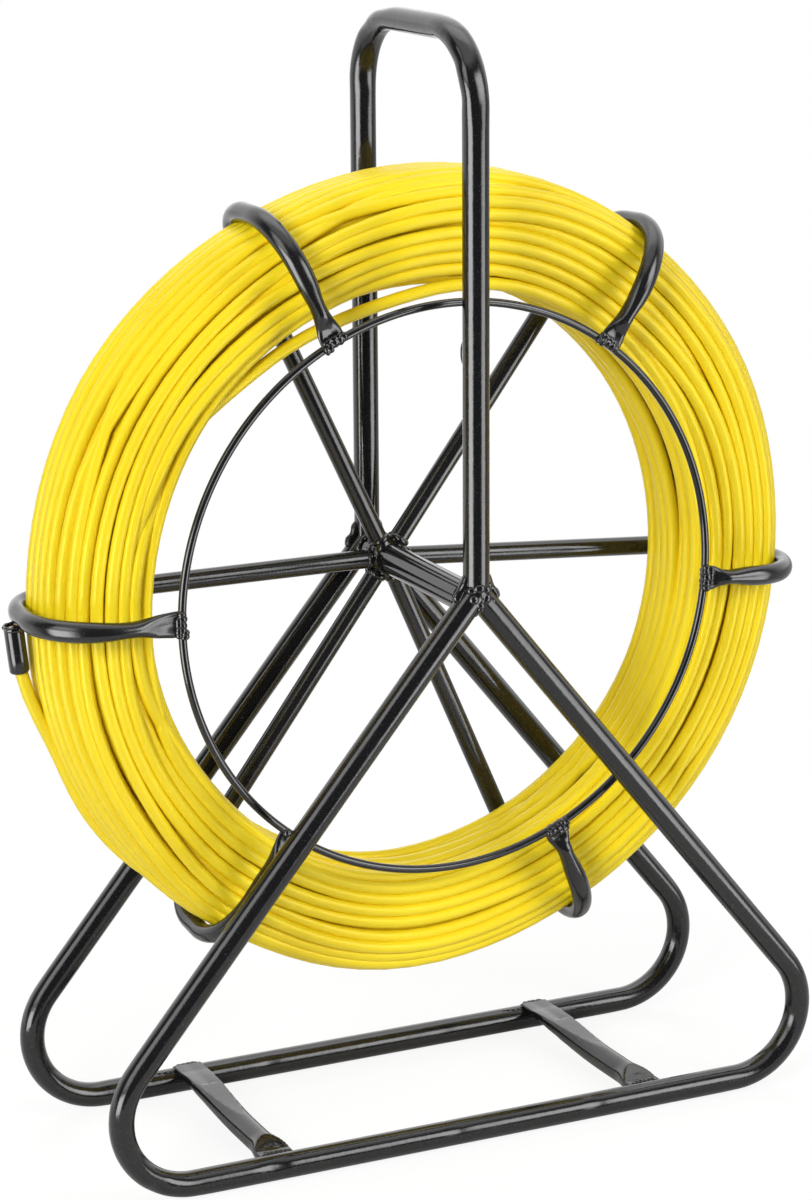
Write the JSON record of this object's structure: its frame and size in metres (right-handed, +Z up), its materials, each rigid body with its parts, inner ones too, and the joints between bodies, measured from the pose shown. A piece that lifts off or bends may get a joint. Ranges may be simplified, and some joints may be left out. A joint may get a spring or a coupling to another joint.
{
  "type": "fish tape reel",
  "caption": "Upright bent-tube stand with a turning six-hook wheel that stores a coil of stiff glass-fibre cable-pulling rod.",
  "frame": {"origin": "on the floor, under the middle of the stand", "axes": "+Z up, Y along the wheel's axle with -Y at the front, X along the foot bars"},
  "size_m": [0.4169, 0.1372, 0.5494],
  "materials": {
    "stand_tube": "gloss black powder coat",
    "weld_bead": "gloss black powder coat over a lumpy weld",
    "keeper_wire": "gloss black powder coat",
    "sleeve": "gloss black powder coat",
    "guide": "gloss black powder coat",
    "ring_wire": "satin black powder coat",
    "wheel_tube": "satin black powder coat",
    "rod_sheath": "satin yellow sheath",
    "ferrule": "turned brass"
  },
  "bodies": {
    "stand": {"front_leg_loop": "stand_tube", "back_leg_loop": "stand_tube", "handle_hoop": "stand_tube", "axle_tube": "stand_tube", "front_hub_weld": "weld_bead", "back_hub_weld": "weld_bead", "cross_bar_left": "stand_tube", "cross_bar_right": "stand_tube", "cross_bar_welds": "weld_bead", "keeper_loop": "keeper_wire"},
    "wheel": {"hub_sleeve": "sleeve", "spoke_weld": "weld_bead", "hook_arm_1": "wheel_tube", "hook_arm_2": "wheel_tube", "hook_arm_3": "wheel_tube", "hook_arm_4": "wheel_tube", "hook_arm_5": "wheel_tube", "hook_arm_6": "wheel_tube", "front_ring": "ring_wire", "ring_welds": "weld_bead", "guide_tube": "guide", "guide_weld": "weld_bead", "rod_coil": "rod_sheath", "rod_tail": "rod_sheath", "rod_tip": "ferrule"}
  },
  "joints": [
    {"name": "wheel_spin", "type": "hinge", "parent": "stand", "child": "wheel", "pos_m": [0, 0, 0.275], "axis": [0, 1, 0], "continuous": true}
  ]
}
